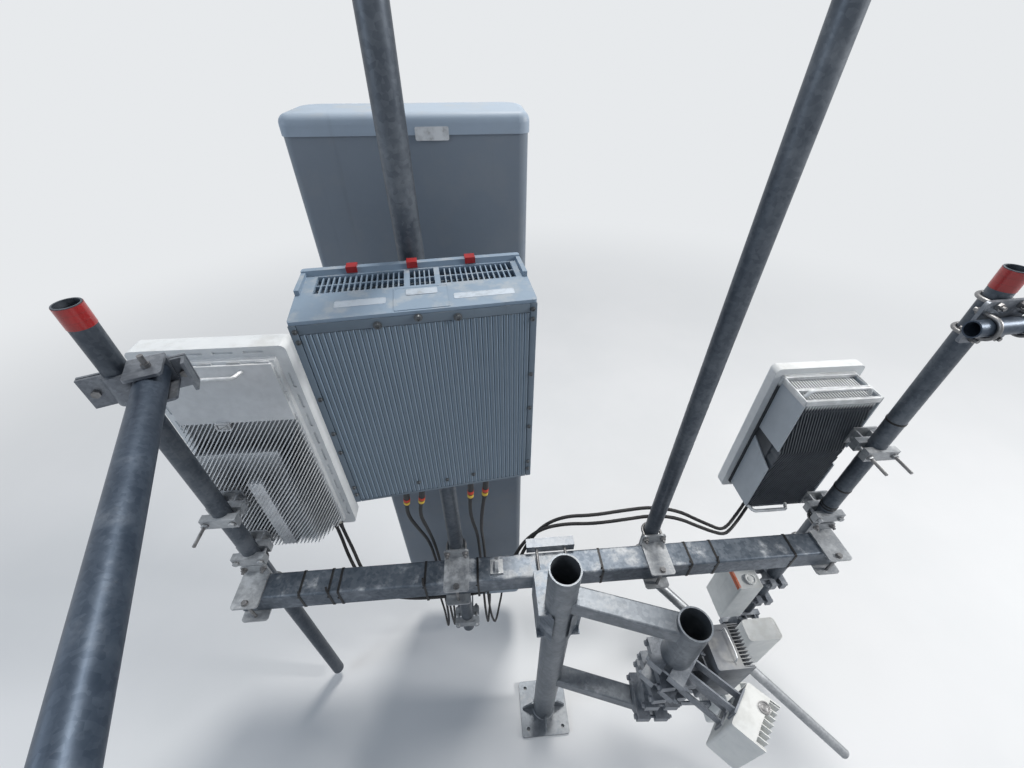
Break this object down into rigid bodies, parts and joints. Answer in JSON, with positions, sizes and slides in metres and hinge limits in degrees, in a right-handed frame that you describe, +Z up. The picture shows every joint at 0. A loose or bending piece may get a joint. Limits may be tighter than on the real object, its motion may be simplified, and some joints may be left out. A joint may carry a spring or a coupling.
{
  "type": "cell tower sector antenna mount",
  "caption": "Head mount of a cell tower: a square face tube with clamped pipes that carry a tall panel antenna, two flat antennas, finned radios and tie-back pipes.",
  "frame": {"origin": "on the main post's axis, at the underside of its base flange", "axes": "+Z up the post, +X along the face tube, +Y away from the tower"},
  "size_m": [3.2874, 1.4609, 3.578],
  "materials": {
    "galvanised": "matt galvanised, weathered",
    "hardware": "zinc plated",
    "red_tape": "glossy",
    "radome": "satin",
    "radio_paint": "satin",
    "fins": "matt cast",
    "port": "plated",
    "cable": "matt black jacket"
  },
  "bodies": {
    "root": {"antenna_handles": "hardware", "base_flange": "galvanised", "cable_hanger": "galvanised", "cable_ties": "cable", "centre_radio_body": "radio_paint", "centre_radio_brackets": "galvanised", "centre_radio_guard": "radio_paint", "centre_radio_ports": "port", "centre_radio_tabs": "red_tape", "cover_radio": "radio_paint", "crossover_bolts_bare": "hardware", "crossover_bolts_centre": "hardware", "crossover_bolts_left": "hardware", "crossover_bolts_right": "hardware", "crossover_saddle_bare": "galvanised", "crossover_saddle_centre": "galvanised", "crossover_saddle_left": "galvanised", "crossover_saddle_right": "galvanised", "face_bracket": "galvanised", "face_bracket_bars": "galvanised", "face_bracket_studs": "hardware", "face_tube": "galvanised", "feeder_glands": "port", "feeders": "cable", "finned_radio": "radio_paint", "grey_radio": "radio_paint", "left_antenna_brackets": "galvanised", "left_antenna_heat_sink": "fins", "left_antenna_radome": "radome", "main_post": "galvanised", "mount_pipe_bare": "galvanised", "mount_pipe_centre": "galvanised", "mount_pipe_left": "galvanised", "mount_pipe_right": "galvanised", "panel_antenna_body": "radome", "panel_antenna_brackets": "galvanised", "panel_antenna_caps": "radome", "panel_antenna_ports": "port", "plain_radio": "radio_paint", "post_arms": "galvanised", "radio_jumpers": "cable", "red_tape_bands": "red_tape", "right_antenna_brackets": "galvanised", "right_antenna_covers": "radio_paint", "right_antenna_heat_sink": "fins", "right_antenna_radome": "radome", "side_post": "galvanised", "small_radio_clamps": "galvanised", "stiff_arm": "galvanised", "stiff_arm_clamp": "galvanised", "tie_pipe_left": "galvanised", "tie_pipe_right": "galvanised", "tie_plates": "galvanised", "tie_u_bolts": "hardware", "white_radio": "radio_paint"}
  },
  "joints": []
}
